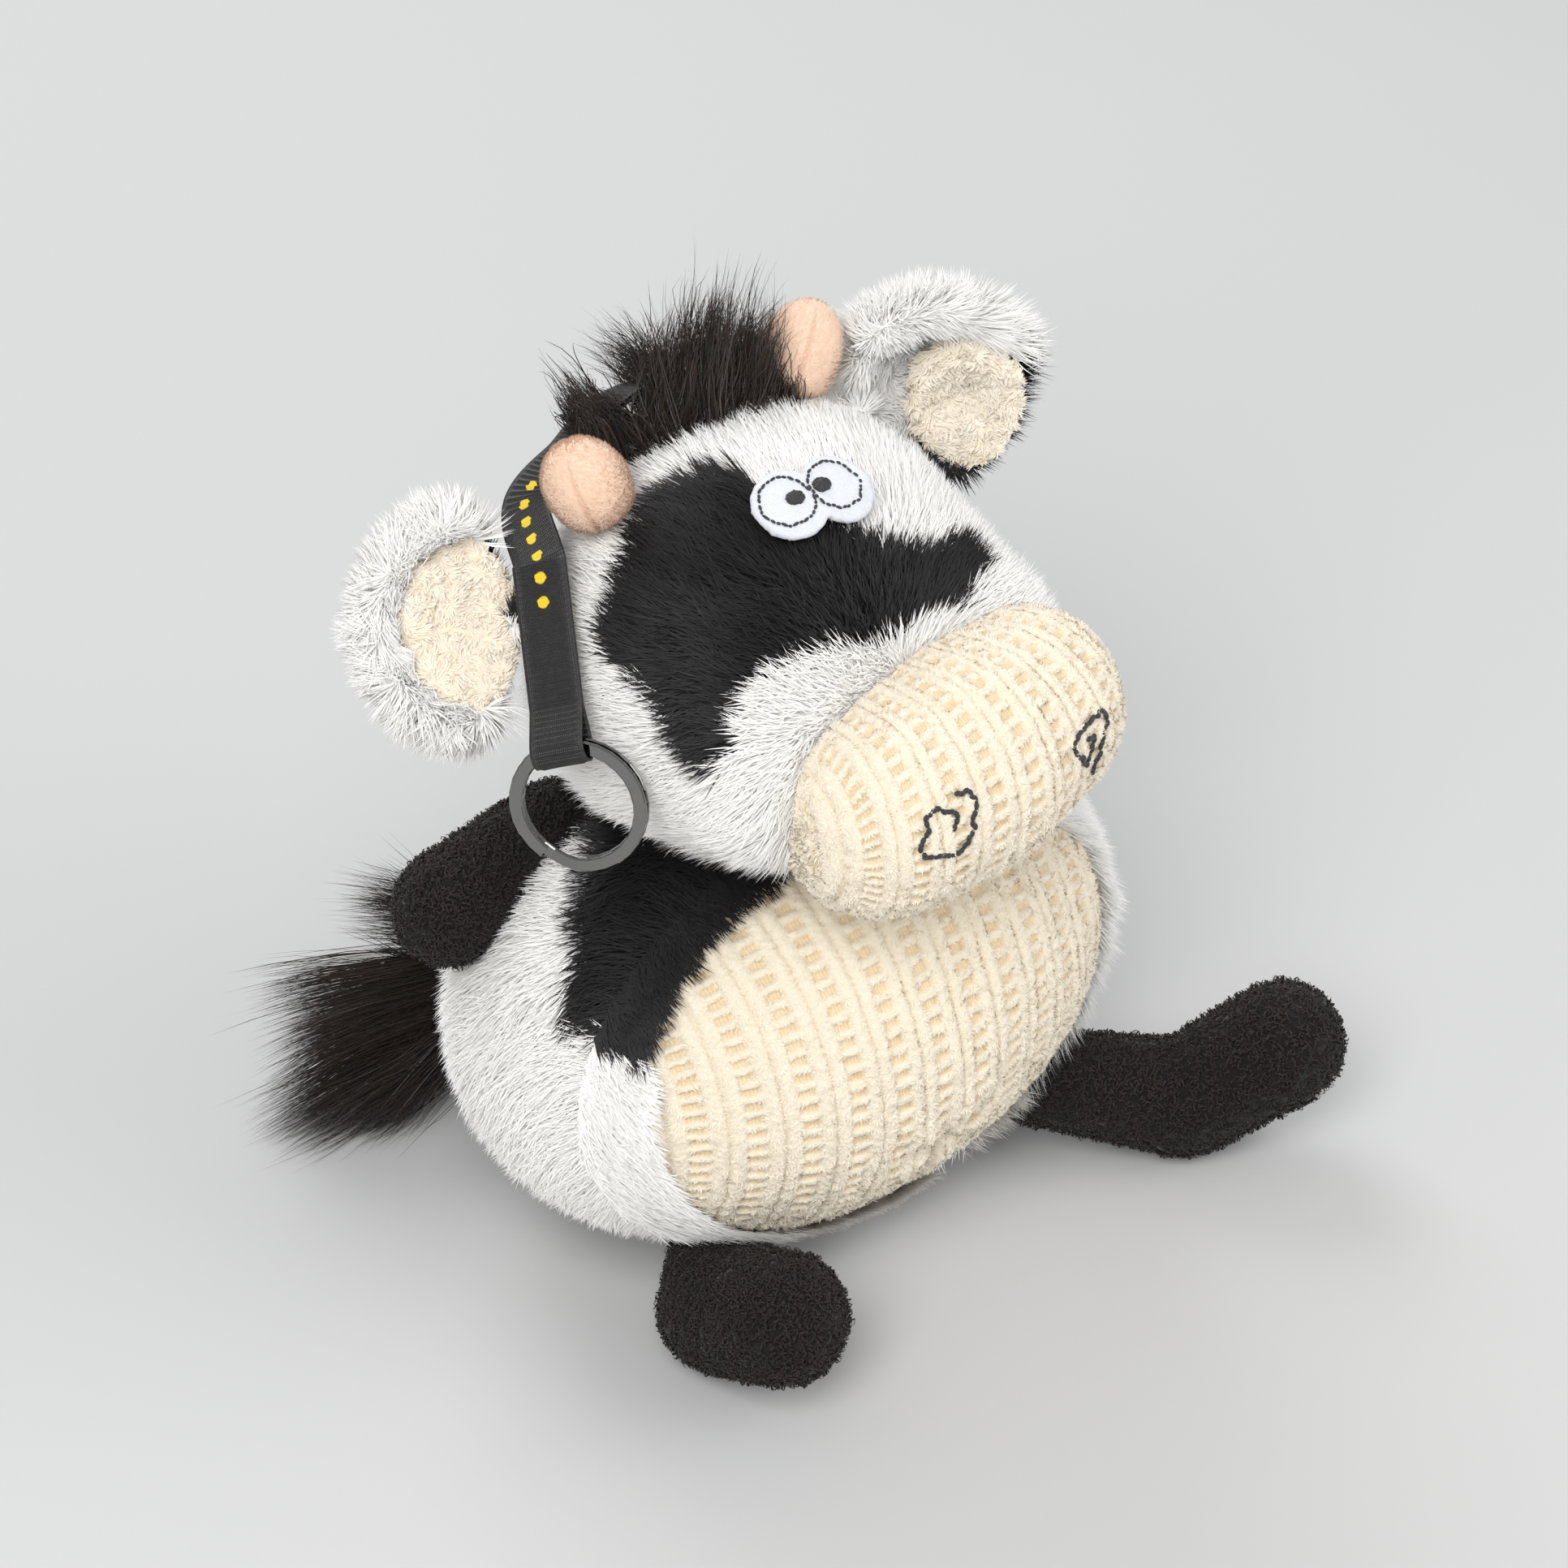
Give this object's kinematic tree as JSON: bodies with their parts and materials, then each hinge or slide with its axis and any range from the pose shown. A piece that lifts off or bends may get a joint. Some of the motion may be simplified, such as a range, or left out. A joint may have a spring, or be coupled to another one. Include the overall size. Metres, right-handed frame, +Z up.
{
  "type": "plush bag charm",
  "caption": "Seated plush cow charm with furry head and body, knitted belly and muzzle, nubbly limbs, felt eyes and a ribbon loop carrying a split key ring.",
  "frame": {"origin": "middle of the flat seat under the torso, on the surface the toy sits on", "axes": "+Z up, the belly and face towards -Y, the cow's own left towards +X"},
  "size_m": [0.1691, 0.1481, 0.1847],
  "materials": {
    "white_fur": "long white plush pile",
    "black_pile": "long black plush pile",
    "cream_knit": "chenille waffle knit",
    "cream_terry": "looped sherpa pile",
    "black_boucle": "looped wool cloth",
    "peach_fleece": "brushed fleece",
    "white_felt": "pressed felt",
    "filling": "loose fibre filling",
    "black_ribbon": "ribbed woven ribbon",
    "chrome_wire": "polished plating"
  },
  "bodies": {
    "torso": {"torso_fur_cover": "white_fur", "belly_panel": "cream_knit", "torso_stuffing": "filling"},
    "neck": {"neck_stuffing": "filling"},
    "head": {"head_fur_cover": "white_fur", "head_stuffing": "filling", "muzzle_cover": "cream_knit", "muzzle_stuffing": "filling", "horn_cover_right": "peach_fleece", "horn_cover_left": "peach_fleece", "horn_stuffing_right": "filling", "horn_stuffing_left": "filling", "eye_felt": "white_felt", "hair_tuft": "black_pile", "ribbon_upper": "black_ribbon"},
    "ear_right": {"ear_back_right": "white_fur", "ear_lining_right": "cream_terry"},
    "ear_left": {"ear_back_left": "white_fur", "ear_lining_left": "cream_terry"},
    "arm_right": {"arm_cover_right": "black_boucle", "arm_stuffing_right": "filling"},
    "arm_left": {"arm_cover_left": "black_boucle", "arm_stuffing_left": "filling"},
    "leg_right": {"leg_cover_right": "black_boucle", "leg_stuffing_right": "filling"},
    "leg_left": {"leg_cover_left": "black_boucle", "leg_stuffing_left": "filling"},
    "tail": {"tail": "black_pile"},
    "ribbon": {"ribbon_lower": "black_ribbon"},
    "ring": {"split_ring": "chrome_wire"}
  },
  "joints": [
    {"name": "head_turn", "type": "hinge", "parent": "torso", "child": "neck", "pos_m": [0, 0, 0.102], "axis": [0, 0, 1], "range_deg": [-45, 45]},
    {"name": "head_nod", "type": "hinge", "parent": "neck", "child": "head", "pos_m": [0, 0, 0.102], "axis": [0.9877, 0.1564, 0], "range_deg": [-8, 4]},
    {"name": "ear_droop_right", "type": "hinge", "parent": "head", "child": "ear_right", "pos_m": [-0.04491, 0.0182, 0.139], "axis": [0.0989, 0.8169, -0.5682], "range_deg": [-15, 15], "stiffness_Nm_per_rad": 0.008},
    {"name": "ear_droop_left", "type": "hinge", "parent": "head", "child": "ear_left", "pos_m": [0.03713, 0.02461, 0.1455], "axis": [0.3979, 0.9121, 0.0988], "range_deg": [-12, 12], "stiffness_Nm_per_rad": 0.008},
    {"name": "arm_lift_right", "type": "hinge", "parent": "torso", "child": "arm_right", "pos_m": [-0.035, 0.022, 0.085], "axis": [0, 1, 0], "range_deg": [0, 30]},
    {"name": "arm_lift_left", "type": "hinge", "parent": "torso", "child": "arm_left", "pos_m": [0.035, 0.022, 0.085], "axis": [0, -1, 0], "range_deg": [0, 30]},
    {"name": "leg_swing_right", "type": "hinge", "parent": "torso", "child": "leg_right", "pos_m": [-0.0365, -0.027, 0.017], "axis": [0, 0, 1], "range_deg": [-20, 20]},
    {"name": "leg_swing_left", "type": "hinge", "parent": "torso", "child": "leg_left", "pos_m": [0.0365, -0.027, 0.017], "axis": [0, 0, 1], "range_deg": [-20, 20]},
    {"name": "tail_swing", "type": "hinge", "parent": "torso", "child": "tail", "pos_m": [0, 0.04463, 0.02], "axis": [0, 0, -1], "range_deg": [0, 80]},
    {"name": "ribbon_swing", "type": "hinge", "parent": "head", "child": "ribbon", "pos_m": [-0.04231, 0.01476, 0.15251], "axis": [-0.6323, 0.7041, -0.3232], "range_deg": [0, 30]},
    {"name": "ring_swing", "type": "hinge", "parent": "ribbon", "child": "ring", "pos_m": [-0.0545, -0.00671, 0.12957], "axis": [-0.6323, 0.7041, -0.3232], "range_deg": [0, 50]}
  ]
}
